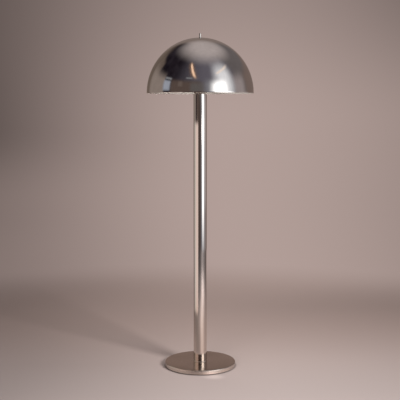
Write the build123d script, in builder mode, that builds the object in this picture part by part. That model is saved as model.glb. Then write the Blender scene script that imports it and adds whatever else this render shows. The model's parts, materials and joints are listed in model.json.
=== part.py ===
from build123d import *
import os
from math import atan2, cos, degrees, radians, sin, sqrt, tan

# Mushroom floor lamp. Millimetres, +Z up, origin on the floor under the middle of the pole.
# From the floor up: pad, weighted base, pole, socket cluster, stem, switch yoke, dome, turn knob.

os.makedirs("parts", exist_ok=True)

# ---- driving dimensions ----

# base
pad_thickness = 3.0
pad_inset = 4.0            # how far the pad stays inside the cover's edge
base_diameter = 309.0
base_height = 17.7
cover_wall = 1.2
cover_edge_radius = 4.5
recess_radius = 20.0       # room for the nut under the weight
recess_depth = 12.0
channel_width = 14.0       # cord channel from the recess to the back
channel_roof = 6.6         # channel above the inlet's middle
channel_lap = 2.0          # how far the channel runs into the recess
inlet_height = 7.0         # middle of the inlet over the pad
inlet_bore_radius = 3.6
bushing_wall = 1.6
bushing_flange_radius = 6.4
bushing_flange = 1.8
bushing_reach = 7.0        # how far the bushing goes in behind the cover
bushing_snap = 0.9         # how far its snap collar stands out
bushing_taper = 4.0        # degrees

# pole
pole_diameter = 57.15
pole_wall = 1.5
pole_length = 1206.5
ring_flange = 2.8          # the foot ring's visible height
ring_proud = 1.6           # the foot ring's reach past the pole
ring_edge = 1.2            # rounding of its upper edge
spigot_length = 8.0
spigot_wall = 2.0
cap_flange = 3.0
cap_proud = 0.8
cap_chamfer = 0.5

# threaded pipe, stem and nuts
pipe_radius = 5.0
pipe_bore_radius = 3.25
nut_flats = 15.0
nut_thickness = 4.0
washer_radius = 15.0
washer_thickness = 1.5
thread_end = 1.2           # thread that shows past a nut

# socket cluster
cluster_radius = 36.0
cluster_wall = 2.5
lid_thickness = 2.0
lid_flange = 8.0
lid_flange_wall = 2.0
skirt_height = 14.0
cone_height = 28.0
hub_radius = 9.0
hub_depth = 8.0
port_radius = 9.5
port_depth = 9.0
port_proud = 3.0
screw_radius = 1.5
screw_head_radius = 2.8
screw_head = 1.4
screw_head_taper = 20.0    # degrees

# the three arms
arm_tilt = 30.0            # degrees over the horizontal
arm_azimuths = (90, 210, 330)
nipple_reach = 12.0        # nipple past the port's face
nipple_gap = 1.0           # from the nipple's end to the socket's plug
cup_radius = 17.0
cup_wall = 1.0
cup_hub = 7.0
cup_hub_wall = 3.0
cup_flare = 5.0
cup_rim = 5.0
socket_radius = 18.6
socket_wall = 4.0
socket_length = 33.0       # from the cup's rim to the mouth
socket_floor = 7.0
socket_lip = 1.6           # rounding of the mouth
shell_wall = 0.5
shell_length = 24.0
contact_radius = 3.2
contact_height = 3.0
contact_taper = 15.0       # degrees
bulb_cap_radius = 13.1
bulb_cap_length = 24.0
bulb_tip_radius = 4.2
bulb_cone_radius = 11.6
bulb_cone_length = 5.0
bulb_cap_lip = 2.0         # neck that shows past the cap before the glass flares
bulb_neck_radius = 12.0
bulb_neck_grip = 7.0       # glass held inside the cap
bulb_radius = 30.0
bulb_length = 110.0
bulb_wall = 0.9
lead_radius = 1.6
lead_tail = 5.0            # lead inside the cluster, past its port

# wires in the pole
wire_radius = 1.1
wire_spread = 1.25         # half the distance between the two wires
wire_floor = 2.6           # lowest wire middle over the pad
wire_bend = 4.0            # bend radius under the pipe
wire_sweep = 60.0          # bend radius in the channel
wire_turn = 3.0            # bend radius above a pipe's end
wire_start_gap = 2.0       # from the bushing to the first of the wire
connector_radius = 4.2
connector_tip_radius = 2.6
connector_length = 14.0
connector_spread = 6.0
connector_rise = 10.0      # connector mouths over the pipe's end

# stem, yoke and switch
stem_exposed = 98.5
yoke_width = 44.0
yoke_height = 46.0
yoke_depth = 16.0
yoke_wall = 2.2
yoke_corner = 6.0
switch_radius = 14.5
switch_height = 20.0
switch_foot_radius = 12.0
switch_foot = 4.0
bushing_radius = 4.9
bushing_engage = 4.0
shaft_radius = 3.0
shaft_engage = 10.0        # shaft inside the switch body, under the bushing
seat_washer_radius = 13.0
seat_washer = 1.5
lead_spread = 7.0
lead_drop = 2.2            # switch leads below the stem's end

# shade
shade_diameter = 457.2
shade_height = 234.5
shade_wall = 1.2
hem_height = 4.0
hem_thickness = 2.6

# ring nut and knob
ring_nut_radius = 6.0
ring_nut = 1.8
knob_radius = 4.75
knob_height = 16.3
knob_edge = 1.4            # rounding of the top
knob_bore_depth = 10.0
groove_width = 0.8         # two turned grooves, one near each end
groove_depth = 0.4
groove_low = 2.6           # over the knob's lower end
groove_drop = 5.2          # below its top

# clearances
seat_gap = 0.05            # between flat faces that seat
thread_gap = 0.1           # pipe in a tapped or drilled hole
fit_gap = 0.3              # round parts that slip into each other
run_gap = 0.05             # running fit of the switch shaft
turn_gap = 0.4             # knob over the ring nut

# ---- heights of the stack ----

pad_top = pad_thickness
base_top = pad_top + base_height
pole_foot = base_top + ring_flange
pole_top = pole_foot + pole_length
cap_top = pole_top + cap_flange
lid_top = cap_top + lid_thickness
cone_foot = lid_top + skirt_height
cluster_top = cone_foot + cone_height
yoke_bottom = cluster_top + stem_exposed
yoke_top = yoke_bottom + yoke_height
washer_top = yoke_top + seat_washer

recess_top = pad_top + recess_depth
pipe_foot = recess_top - washer_thickness - nut_thickness - thread_end
pipe_head = lid_top + nut_thickness + thread_end
stem_foot = cluster_top - hub_depth
stem_head = yoke_bottom + yoke_wall + nut_thickness + thread_end
inlet_z = pad_top + inlet_height

# the dome's outline is two tangent arcs that meet at 45 degrees: a wide one that stands upright
# on the rim, centred past the axis, and a tighter one over the crown, centred above the rim
shade_radius = shade_diameter / 2
arc_shift = (shade_height - shade_radius) / (2 - sqrt(2))
rim_arc = shade_radius + arc_shift
crown_arc = shade_height - arc_shift

# the dome rests on the seat washer's outer edge
seat_rise = arc_shift + sqrt((crown_arc - shade_wall) ** 2 - seat_washer_radius**2)
rim_z = washer_top + seat_gap - seat_rise
apex = rim_z + shade_height
nut_top = apex + ring_nut
knob_bottom = nut_top + turn_gap

pole_radius = pole_diameter / 2
pole_bore_radius = pole_radius - pole_wall
base_radius = base_diameter / 2
cover_bore_radius = base_radius - cover_wall
weight_radius = cover_bore_radius - fit_gap
pipe_hole_radius = pipe_radius + thread_gap

# ---- base ----

with BuildPart() as foot_pad:
    with BuildSketch():
        Circle(base_radius - pad_inset)
    extrude(amount=pad_thickness)
foot_pad.part.label = "foot_pad"
export_step(foot_pad.part, "parts/foot_pad.step")

# spun cover: a shallow pan turned over, with a rolled upper edge and a bush hole at the back
bushing_body_radius = inlet_bore_radius + bushing_wall
with BuildPart() as base_cover:
    with BuildSketch(Plane.XY.offset(pad_top)):
        Circle(base_radius)
    extrude(amount=base_height)
    fillet(base_cover.edges().group_by(Axis.Z)[-1], cover_edge_radius)
    offset(amount=-cover_wall, openings=base_cover.faces().sort_by(Axis.Z)[0])
    with BuildSketch(Plane.XY.offset(base_top)):
        Circle(pipe_hole_radius)
    extrude(amount=-2 * cover_wall, mode=Mode.SUBTRACT)
    with BuildSketch(Plane.XZ.offset(-base_radius - bushing_flange)):
        with Locations((0, inlet_z)):
            Circle(bushing_body_radius + thread_gap)
    extrude(amount=bushing_flange + bushing_reach, mode=Mode.SUBTRACT)
base_cover.part.label = "base_cover"
export_step(base_cover.part, "parts/base_cover.step")

# cast weight: nut recess and cord channel in its underside
weight_top = base_top - cover_wall
with BuildPart() as base_weight:
    with BuildSketch(Plane.XY.offset(pad_top)):
        Circle(weight_radius)
    extrude(amount=weight_top - pad_top)
    chamfer(base_weight.edges().group_by(Axis.Z)[-1], cover_edge_radius)
    with BuildSketch(Plane.XY.offset(pad_top)):
        Circle(recess_radius)
    extrude(amount=recess_depth, mode=Mode.SUBTRACT)
    with BuildSketch(Plane.XY.offset(pad_top)):
        with Locations((0, recess_radius - channel_lap)):
            Rectangle(channel_width, base_radius, align=(Align.CENTER, Align.MIN))
    extrude(amount=inlet_height + channel_roof, mode=Mode.SUBTRACT)
    with BuildSketch(Plane.XY.offset(pad_top)):
        Circle(pipe_hole_radius)
    extrude(amount=base_height, mode=Mode.SUBTRACT)
base_weight.part.label = "base_weight"
export_step(base_weight.part, "parts/base_weight.step")

# cord bushing: flange outside the cover, body through it, snap collar behind it
collar_radius = bushing_body_radius + bushing_snap
collar_face = sqrt(cover_bore_radius**2 - collar_radius**2) - seat_gap
bushing_end = cover_bore_radius - bushing_reach
with BuildPart() as cord_bushing:
    with BuildSketch(Plane.XZ.offset(-base_radius - bushing_flange)):
        with Locations((0, inlet_z)):
            Circle(bushing_flange_radius)
    extrude(amount=bushing_flange - seat_gap)
    fillet(cord_bushing.edges().group_by(Axis.Y)[-1], bushing_flange / 2)
    with BuildSketch(Plane.XZ.offset(-base_radius)):
        with Locations((0, inlet_z)):
            Circle(bushing_body_radius)
    extrude(amount=base_radius - bushing_end)
    with BuildSketch(Plane.XZ.offset(-base_radius)):
        with Locations((0, inlet_z)):
            Circle(bushing_body_radius)
    extrude(amount=-seat_gap)
    with BuildSketch(Plane.XZ.offset(-collar_face)):
        with Locations((0, inlet_z)):
            Circle(collar_radius)
    extrude(amount=collar_face - bushing_end, taper=bushing_taper)
    with BuildSketch(Plane.XZ.offset(-base_radius - bushing_flange)):
        with Locations((0, inlet_z)):
            Circle(inlet_bore_radius)
    extrude(amount=base_radius + bushing_flange - bushing_end, mode=Mode.SUBTRACT)
cord_bushing.part.label = "cord_bushing"
export_step(cord_bushing.part, "parts/cord_bushing.step")

with BuildPart() as bottom_washer:
    with BuildSketch(Plane.XY.offset(recess_top)):
        Circle(washer_radius)
        Circle(pipe_hole_radius, mode=Mode.SUBTRACT)
    extrude(amount=-washer_thickness)
bottom_washer.part.label = "bottom_washer"
export_step(bottom_washer.part, "parts/bottom_washer.step")

# four hex nuts: under the weight, on the cluster's lid, and below and above the yoke's foot
nut_seats = (
    recess_top - washer_thickness - nut_thickness,
    lid_top,
    yoke_bottom - nut_thickness,
    yoke_bottom + yoke_wall,
)
with BuildPart() as hex_nuts:
    for seat in nut_seats:
        with BuildSketch(Plane.XY.offset(seat)):
            RegularPolygon(nut_flats / 2, 6, major_radius=False)
            Circle(pipe_hole_radius, mode=Mode.SUBTRACT)
        extrude(amount=nut_thickness)
hex_nuts.part.label = "hex_nuts"
export_step(hex_nuts.part, "parts/hex_nuts.step")

# ---- pole ----

# foot ring: rounded flange under the pole, with a spigot that centres the pole's bore
spigot_radius = pole_bore_radius - fit_gap
with BuildPart() as foot_ring:
    with BuildSketch(Plane.XY.offset(base_top)):
        Circle(pole_radius + ring_proud)
    extrude(amount=ring_flange)
    fillet(foot_ring.edges().group_by(Axis.Z)[-1], ring_edge)
    with BuildSketch(Plane.XY.offset(pole_foot)):
        Circle(spigot_radius)
        Circle(spigot_radius - spigot_wall, mode=Mode.SUBTRACT)
    extrude(amount=spigot_length)
    with BuildSketch(Plane.XY.offset(base_top)):
        Circle(pipe_hole_radius)
    extrude(amount=ring_flange, mode=Mode.SUBTRACT)
foot_ring.part.label = "foot_ring"
export_step(foot_ring.part, "parts/foot_ring.step")

with BuildPart() as pole_tube:
    with BuildSketch(Plane.XY.offset(pole_foot)):
        Circle(pole_radius)
        Circle(pole_bore_radius, mode=Mode.SUBTRACT)
    extrude(amount=pole_length)
pole_tube.part.label = "pole_tube"
export_step(pole_tube.part, "parts/pole_tube.step")

with BuildPart() as threaded_pipe:
    with BuildSketch(Plane.XY.offset(pipe_foot)):
        Circle(pipe_radius)
        Circle(pipe_bore_radius, mode=Mode.SUBTRACT)
    extrude(amount=pipe_head - pipe_foot)
threaded_pipe.part.label = "threaded_pipe"
export_step(threaded_pipe.part, "parts/threaded_pipe.step")

with BuildPart() as top_cap:
    with BuildSketch(Plane.XY.offset(pole_top)):
        Circle(pole_radius + cap_proud)
    extrude(amount=cap_flange)
    chamfer(top_cap.edges().group_by(Axis.Z)[0], cap_chamfer)
    with BuildSketch(Plane.XY.offset(pole_top)):
        Circle(spigot_radius)
        Circle(spigot_radius - spigot_wall, mode=Mode.SUBTRACT)
    extrude(amount=-spigot_length)
    with BuildSketch(Plane.XY.offset(pole_top)):
        Circle(pipe_hole_radius)
    extrude(amount=cap_flange, mode=Mode.SUBTRACT)
top_cap.part.label = "top_cap"
export_step(top_cap.part, "parts/top_cap.step")

# ---- socket cluster ----

skirt_bore_radius = cluster_radius - cluster_wall
flange_radius = skirt_bore_radius - fit_gap
cone_top_radius = cluster_radius - cone_height * tan(radians(arm_tilt))
screw_z = lid_top + lid_flange / 2
screw_azimuths = [azimuth + 60 for azimuth in arm_azimuths]
screw_tip = flange_radius - lid_flange_wall

with BuildPart() as cluster_lid:
    with BuildSketch(Plane.XY.offset(cap_top)):
        Circle(cluster_radius)
        Circle(pipe_hole_radius, mode=Mode.SUBTRACT)
    extrude(amount=lid_thickness)
    with BuildSketch(Plane.XY.offset(lid_top)):
        Circle(flange_radius)
        Circle(flange_radius - lid_flange_wall, mode=Mode.SUBTRACT)
    extrude(amount=lid_flange)
    for azimuth in screw_azimuths:
        with BuildSketch(Plane((0, 0, screw_z), z_dir=Vector(1, 0, 0).rotate(Axis.Z, azimuth))):
            Circle(screw_radius)
        extrude(amount=cluster_radius, mode=Mode.SUBTRACT)
cluster_lid.part.label = "cluster_lid"
export_step(cluster_lid.part, "parts/cluster_lid.step")


def arm_plane(azimuth):
    """Plane on the lamp's axis whose normal runs out along the arm."""
    out = Vector(cos(radians(arm_tilt)), 0, sin(radians(arm_tilt))).rotate(Axis.Z, azimuth)
    side = Vector(0, 1, 0).rotate(Axis.Z, azimuth)
    return Plane((0, 0, arm_root), x_dir=side, z_dir=out)


# an arm's line leaves the middle of the cone's face square to it
port_radius_out = (cluster_radius + cone_top_radius) / 2
arm_root = cone_foot + cone_height / 2 - port_radius_out * tan(radians(arm_tilt))
port_face = port_radius_out / cos(radians(arm_tilt)) + port_proud
port_end = port_face - port_depth

with BuildPart() as cluster_body:
    with BuildSketch(Plane.XZ):
        with BuildLine():
            Polyline(
                (0, lid_top),
                (cluster_radius, lid_top),
                (cluster_radius, cone_foot),
                (cone_top_radius, cluster_top),
                (0, cluster_top),
                close=True,
            )
        make_face()
    revolve(axis=Axis.Z)
    offset(amount=-cluster_wall, openings=cluster_body.faces().sort_by(Axis.Z)[0])
    with BuildSketch(Plane.XY.offset(cluster_top)):
        Circle(hub_radius)
    extrude(amount=-hub_depth)
    for azimuth in arm_azimuths:
        with BuildSketch(arm_plane(azimuth).offset(port_end)):
            Circle(port_radius)
        extrude(amount=port_depth)
    for azimuth in arm_azimuths:
        with BuildSketch(arm_plane(azimuth).offset(port_end)):
            Circle(pipe_hole_radius)
        extrude(amount=port_depth, mode=Mode.SUBTRACT)
    with BuildSketch(Plane.XY.offset(cluster_top)):
        Circle(pipe_hole_radius)
    extrude(amount=-hub_depth, mode=Mode.SUBTRACT)
    for azimuth in screw_azimuths:
        with BuildSketch(Plane((0, 0, screw_z), z_dir=Vector(1, 0, 0).rotate(Axis.Z, azimuth))):
            Circle(screw_radius + thread_gap)
        extrude(amount=cluster_radius, mode=Mode.SUBTRACT)
cluster_body.part.label = "cluster_body"
export_step(cluster_body.part, "parts/cluster_body.step")

with BuildPart() as cluster_screws:
    for azimuth in screw_azimuths:
        screw_plane = Plane((0, 0, screw_z), z_dir=Vector(1, 0, 0).rotate(Axis.Z, azimuth))
        with BuildSketch(screw_plane.offset(screw_tip)):
            Circle(screw_radius)
        extrude(amount=cluster_radius + seat_gap - screw_tip)
        with BuildSketch(screw_plane.offset(cluster_radius + seat_gap)):
            Circle(screw_head_radius)
        extrude(amount=screw_head, taper=screw_head_taper)
cluster_screws.part.label = "cluster_screws"
export_step(cluster_screws.part, "parts/cluster_screws.step")

# ---- wires inside the pole and the cluster ----

connector_mouth = pipe_head + connector_rise
wire_start = bushing_end - wire_start_gap
wire_low = pad_top + wire_floor
with BuildPart() as supply_wires:
    for side in (-1, 1):
        near = side * wire_spread
        far = side * connector_spread
        with BuildLine() as wire_path:
            FilletPolyline(
                (near, wire_start, inlet_z),
                (near, wire_start / 2, inlet_z),
                (near, wire_start / 4, wire_low),
                (near, 0, wire_low),
                (near, 0, pipe_head),
                (far, 0, connector_mouth - connector_rise / 3),
                (far, 0, connector_mouth),
                radius=(wire_sweep, wire_sweep, wire_bend, wire_turn, wire_turn),
            )
        with BuildSketch(Plane(wire_path.line @ 0, z_dir=wire_path.line % 0)):
            Circle(wire_radius)
        sweep(path=wire_path.line)
supply_wires.part.label = "supply_wires"
export_step(supply_wires.part, "parts/supply_wires.step")

with BuildPart() as wire_connectors:
    for side in (-1, 1):
        with BuildSketch(Plane.XY.offset(connector_mouth)):
            with Locations((side * connector_spread, 0)):
                Circle(connector_radius)
        with BuildSketch(Plane.XY.offset(connector_mouth + connector_length)):
            with Locations((side * connector_spread, 0)):
                Circle(connector_tip_radius)
        loft()
wire_connectors.part.label = "wire_connectors"
export_step(wire_connectors.part, "parts/wire_connectors.step")

# ---- three arms: nipple, socket and bulb, all turned about the arm's line ----

cup_face = port_face + cup_hub + cup_flare + cup_rim
cup_hub_radius = pipe_radius + cup_hub_wall
cup_corner = cup_face - cup_rim
plug_face = port_face + nipple_reach + nipple_gap
cavity_radius = socket_radius - socket_wall
cavity_floor = cup_face + socket_floor
shell_radius = cavity_radius - fit_gap
bulb_foot = cavity_floor + contact_height
bulb_cap_rim = bulb_foot + bulb_cap_length
glass_foot = bulb_cap_rim - bulb_neck_grip
bulb_crown = bulb_foot + bulb_length - bulb_radius
shoulder = bulb_cap_rim + bulb_cap_lip

# the flare is one arc, upright at the neck and tangent to the round crown
flare_height = bulb_crown - shoulder
flare_reach = bulb_neck_radius**2 + flare_height**2 - bulb_radius**2
flare_radius = flare_reach / (2 * (bulb_radius - bulb_neck_radius))
flare_middle = bulb_neck_radius + flare_radius
flare_turn = degrees(atan2(flare_height, flare_middle))

for number, azimuth in enumerate(arm_azimuths, start=1):
    arm = arm_plane(azimuth)
    profile = Plane(arm.origin, x_dir=arm.x_dir, z_dir=-arm.y_dir)
    arm_axis = Axis(arm.origin, arm.z_dir)

    with BuildPart() as arm_nipple:
        with BuildSketch(arm.offset(port_end)):
            Circle(pipe_radius)
            Circle(pipe_bore_radius, mode=Mode.SUBTRACT)
        extrude(amount=port_depth + nipple_reach)
    arm_nipple.part.label = f"arm_nipple_{number}"
    export_step(arm_nipple.part, f"parts/arm_nipple_{number}.step")

    # pressed cup: hub on the nipple, flare, and a rim that holds the socket
    with BuildPart() as socket_cup:
        with BuildSketch(profile):
            with BuildLine():
                Polyline(
                    (pipe_hole_radius, port_face),
                    (cup_hub_radius, port_face),
                    (cup_hub_radius, port_face + cup_hub),
                    (cup_radius, cup_corner),
                    (cup_radius, cup_face),
                    (cup_radius - cup_wall, cup_face),
                    (cup_radius - cup_wall, cup_corner + cup_wall / 2),
                    (cup_hub_radius - cup_wall, port_face + cup_hub + cup_wall / 2),
                    (pipe_hole_radius, port_face + cup_hub + cup_wall / 2),
                    close=True,
                )
            make_face()
        revolve(axis=arm_axis)
    socket_cup.part.label = f"socket_cup_{number}"
    export_step(socket_cup.part, f"parts/socket_cup_{number}.step")

    # ceramic body: plug inside the cup, shoulder on its rim, rounded mouth
    with BuildPart() as socket_body:
        with BuildSketch(arm.offset(plug_face)):
            Circle(cup_radius - cup_wall - fit_gap)
        extrude(amount=cup_face - plug_face)
        with BuildSketch(arm.offset(cup_face)):
            Circle(socket_radius)
        extrude(amount=socket_length)
        fillet(socket_body.edges().group_by(arm_axis)[-1], socket_lip)
        with BuildSketch(arm.offset(cavity_floor)):
            Circle(cavity_radius)
        extrude(amount=socket_length, mode=Mode.SUBTRACT)
    socket_body.part.label = f"socket_body_{number}"
    export_step(socket_body.part, f"parts/socket_body_{number}.step")

    with BuildPart() as screw_shell:
        with BuildSketch(arm.offset(cavity_floor)):
            Circle(shell_radius)
        extrude(amount=shell_length)
        with BuildSketch(arm.offset(cavity_floor + shell_wall)):
            Circle(shell_radius - shell_wall)
        extrude(amount=shell_length, mode=Mode.SUBTRACT)
        with BuildSketch(arm.offset(cavity_floor)):
            Circle(contact_radius + 2 * fit_gap)
        extrude(amount=shell_wall, mode=Mode.SUBTRACT)
    screw_shell.part.label = f"screw_shell_{number}"
    export_step(screw_shell.part, f"parts/screw_shell_{number}.step")

    with BuildPart() as centre_contact:
        with BuildSketch(arm.offset(cavity_floor)):
            Circle(contact_radius)
        extrude(amount=contact_height, taper=contact_taper)
    centre_contact.part.label = f"centre_contact_{number}"
    export_step(centre_contact.part, f"parts/centre_contact_{number}.step")

    with BuildPart() as socket_lead:
        with BuildSketch(arm.offset(port_end - lead_tail)):
            Circle(lead_radius)
        extrude(amount=plug_face - port_end + lead_tail)
    socket_lead.part.label = f"socket_lead_{number}"
    export_step(socket_lead.part, f"parts/socket_lead_{number}.step")

    # screw cap: contact tip, insulating cone, barrel, and a recess that grips the glass
    with BuildPart() as bulb_cap:
        with BuildSketch(profile):
            with BuildLine():
                Polyline(
                    (0, bulb_foot),
                    (bulb_tip_radius, bulb_foot),
                    (bulb_cone_radius, bulb_foot + bulb_cone_length),
                    (bulb_cap_radius, bulb_foot + bulb_cone_length + bulb_cap_radius - bulb_cone_radius),
                    (bulb_cap_radius, bulb_cap_rim),
                    (bulb_neck_radius + thread_gap, bulb_cap_rim),
                    (bulb_neck_radius + thread_gap, glass_foot),
                    (0, glass_foot),
                    close=True,
                )
            make_face()
        revolve(axis=arm_axis)
    bulb_cap.part.label = f"bulb_cap_{number}"
    export_step(bulb_cap.part, f"parts/bulb_cap_{number}.step")

    # glass: neck in the cap, a drawn flare and a round crown, blown thin
    with BuildPart() as bulb_glass:
        with BuildSketch(profile):
            with BuildLine():
                neck = Line((bulb_neck_radius, glass_foot), (bulb_neck_radius, shoulder))
                CenterArc((flare_middle, shoulder), flare_radius, 180, -flare_turn)
                crown = CenterArc((0, bulb_crown), bulb_radius, -flare_turn, 90 + flare_turn)
                bore = Line(neck @ 0 - (bulb_wall, 0), neck @ 1 - (bulb_wall, 0))
                CenterArc((flare_middle, shoulder), flare_radius + bulb_wall, 180, -flare_turn)
                hollow = CenterArc((0, bulb_crown), bulb_radius - bulb_wall, -flare_turn, 90 + flare_turn)
                Line(neck @ 0, bore @ 0)
                Line(crown @ 1, hollow @ 1)
            make_face()
        revolve(axis=arm_axis)
    bulb_glass.part.label = f"bulb_glass_{number}"
    export_step(bulb_glass.part, f"parts/bulb_glass_{number}.step")

# ---- stem, yoke and switch ----

with BuildPart() as stem_pipe:
    with BuildSketch(Plane.XY.offset(stem_foot)):
        Circle(pipe_radius)
        Circle(pipe_bore_radius, mode=Mode.SUBTRACT)
    extrude(amount=stem_head - stem_foot)
stem_pipe.part.label = "stem_pipe"
export_step(stem_pipe.part, "parts/stem_pipe.step")

# yoke: a flat strip bent into a ring, drilled for the stem below and the switch bushing above
with BuildPart() as yoke:
    with BuildSketch(Plane.XZ.offset(-yoke_depth / 2)):
        with Locations((0, yoke_bottom + yoke_height / 2)):
            RectangleRounded(yoke_width, yoke_height, yoke_corner)
            RectangleRounded(
                yoke_width - 2 * yoke_wall,
                yoke_height - 2 * yoke_wall,
                yoke_corner - yoke_wall,
                mode=Mode.SUBTRACT,
            )
    extrude(amount=yoke_depth)
    with BuildSketch(Plane.XY.offset(yoke_bottom)):
        Circle(pipe_hole_radius)
    extrude(amount=yoke_height, mode=Mode.SUBTRACT)
yoke.part.label = "yoke"
export_step(yoke.part, "parts/yoke.step")

switch_top = yoke_top - yoke_wall
switch_bottom = switch_top - switch_height
shaft_foot = switch_top - bushing_engage - shaft_engage
with BuildPart() as switch_body:
    with BuildSketch(Plane.XY.offset(switch_bottom)):
        Circle(switch_foot_radius)
    extrude(amount=switch_foot)
    with BuildSketch(Plane.XY.offset(switch_bottom + switch_foot)):
        Circle(switch_radius)
    extrude(amount=switch_height - switch_foot)
    with BuildSketch(Plane.XY.offset(switch_top)):
        Circle(bushing_radius + thread_gap)
    extrude(amount=-bushing_engage, mode=Mode.SUBTRACT)
    with BuildSketch(Plane.XY.offset(switch_top)):
        Circle(shaft_radius + run_gap)
    extrude(amount=-bushing_engage - shaft_engage, mode=Mode.SUBTRACT)
switch_body.part.label = "switch_body"
export_step(switch_body.part, "parts/switch_body.step")

with BuildPart() as switch_bushing:
    with BuildSketch(Plane.XY.offset(switch_top - bushing_engage)):
        Circle(bushing_radius)
        Circle(shaft_radius + run_gap, mode=Mode.SUBTRACT)
    extrude(amount=nut_top - switch_top + bushing_engage)
switch_bushing.part.label = "switch_bushing"
export_step(switch_bushing.part, "parts/switch_bushing.step")

with BuildPart() as switch_leads:
    for side in (-1, 1):
        with BuildLine() as lead_path:
            FilletPolyline(
                (side * wire_spread, 0, stem_foot - lead_drop),
                (side * wire_spread, 0, stem_head),
                (side * lead_spread, 0, (stem_head + switch_bottom) / 2),
                (side * lead_spread, 0, switch_bottom),
                radius=(wire_turn, wire_turn),
            )
        with BuildSketch(Plane(lead_path.line @ 0, z_dir=lead_path.line % 0)):
            Circle(wire_radius)
        sweep(path=lead_path.line)
switch_leads.part.label = "switch_leads"
export_step(switch_leads.part, "parts/switch_leads.step")

with BuildPart() as seat_washer_part:
    with BuildSketch(Plane.XY.offset(yoke_top)):
        Circle(seat_washer_radius)
        Circle(pipe_hole_radius, mode=Mode.SUBTRACT)
    extrude(amount=seat_washer)
seat_washer_part.part.label = "seat_washer"
export_step(seat_washer_part.part, "parts/seat_washer.step")

# ---- shade ----

# spun dome, upright at the rim, with the edge turned in and flattened to a hem
with BuildPart() as shade:
    with BuildSketch(Plane.XZ):
        with BuildLine():
            outer_rim = CenterArc((-arc_shift, rim_z), rim_arc, 0, 45)
            outer_crown = CenterArc((0, rim_z + arc_shift), crown_arc, 45, 45)
            inner_rim = CenterArc((-arc_shift, rim_z), rim_arc - shade_wall, 0, 45)
            inner_crown = CenterArc((0, rim_z + arc_shift), crown_arc - shade_wall, 45, 45)
            Line(outer_rim @ 0, inner_rim @ 0)
            Line(outer_crown @ 1, inner_crown @ 1)
        make_face()
    revolve(axis=Axis.Z)
    with BuildSketch(Plane.XY.offset(rim_z)):
        Circle(shade_radius)
        Circle(shade_radius - hem_thickness, mode=Mode.SUBTRACT)
    extrude(amount=hem_height)
    with BuildSketch(Plane.XY.offset(rim_z + shade_height / 2)):
        Circle(pipe_hole_radius)
    extrude(amount=shade_height, mode=Mode.SUBTRACT)
shade.part.label = "shade"
export_step(shade.part, "parts/shade.step")

with BuildPart() as ring_nut_part:
    with BuildSketch(Plane.XY.offset(apex)):
        Circle(ring_nut_radius)
        Circle(bushing_radius + thread_gap, mode=Mode.SUBTRACT)
    extrude(amount=ring_nut)
ring_nut_part.part.label = "ring_nut"
export_step(ring_nut_part.part, "parts/ring_nut.step")

# ---- turning parts: knob and shaft ----

with BuildPart() as knob:
    with BuildSketch(Plane.XY.offset(knob_bottom)):
        Circle(knob_radius)
    extrude(amount=knob_height)
    fillet(knob.edges().group_by(Axis.Z)[-1], knob_edge)
    for groove in (groove_low, knob_height - groove_drop):
        with BuildSketch(Plane.XY.offset(knob_bottom + groove)):
            Circle(knob_radius)
            Circle(knob_radius - groove_depth, mode=Mode.SUBTRACT)
        extrude(amount=groove_width, mode=Mode.SUBTRACT)
    with BuildSketch(Plane.XY.offset(knob_bottom)):
        Circle(shaft_radius + run_gap)
    extrude(amount=knob_bore_depth, mode=Mode.SUBTRACT)
knob.part.label = "knob"
export_step(knob.part, "parts/knob.step")

with BuildPart() as switch_shaft:
    with BuildSketch(Plane.XY.offset(shaft_foot + seat_gap)):
        Circle(shaft_radius)
    extrude(amount=knob_bottom + knob_bore_depth - shaft_foot - seat_gap)
switch_shaft.part.label = "switch_shaft"
export_step(switch_shaft.part, "parts/switch_shaft.step")
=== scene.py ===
import json
from math import atan2, cos, degrees, pi, radians, sin, sqrt

import bpy
from mathutils import Matrix, Vector

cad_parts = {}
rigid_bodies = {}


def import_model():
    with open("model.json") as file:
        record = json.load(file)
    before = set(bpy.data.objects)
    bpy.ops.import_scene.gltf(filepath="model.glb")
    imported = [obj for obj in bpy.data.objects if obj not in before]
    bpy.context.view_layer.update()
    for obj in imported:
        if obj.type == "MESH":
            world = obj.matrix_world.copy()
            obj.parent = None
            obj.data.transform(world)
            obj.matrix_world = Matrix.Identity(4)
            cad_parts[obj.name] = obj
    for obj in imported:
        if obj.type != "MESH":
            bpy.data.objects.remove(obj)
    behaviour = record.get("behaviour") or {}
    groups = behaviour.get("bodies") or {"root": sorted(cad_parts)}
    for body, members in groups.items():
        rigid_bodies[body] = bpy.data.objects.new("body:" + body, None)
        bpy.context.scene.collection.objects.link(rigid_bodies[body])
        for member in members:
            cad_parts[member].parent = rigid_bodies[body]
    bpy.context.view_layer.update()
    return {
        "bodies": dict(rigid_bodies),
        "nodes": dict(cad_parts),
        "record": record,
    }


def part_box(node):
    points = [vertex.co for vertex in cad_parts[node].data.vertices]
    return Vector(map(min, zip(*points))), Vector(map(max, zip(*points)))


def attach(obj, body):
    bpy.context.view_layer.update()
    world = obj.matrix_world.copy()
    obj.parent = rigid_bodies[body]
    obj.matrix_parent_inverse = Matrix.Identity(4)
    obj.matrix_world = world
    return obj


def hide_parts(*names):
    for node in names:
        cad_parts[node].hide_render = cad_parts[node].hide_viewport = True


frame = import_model()
nodes = frame["nodes"]
scene = bpy.context.scene
print("frame loaded:", len(nodes), "CAD nodes")


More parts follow.
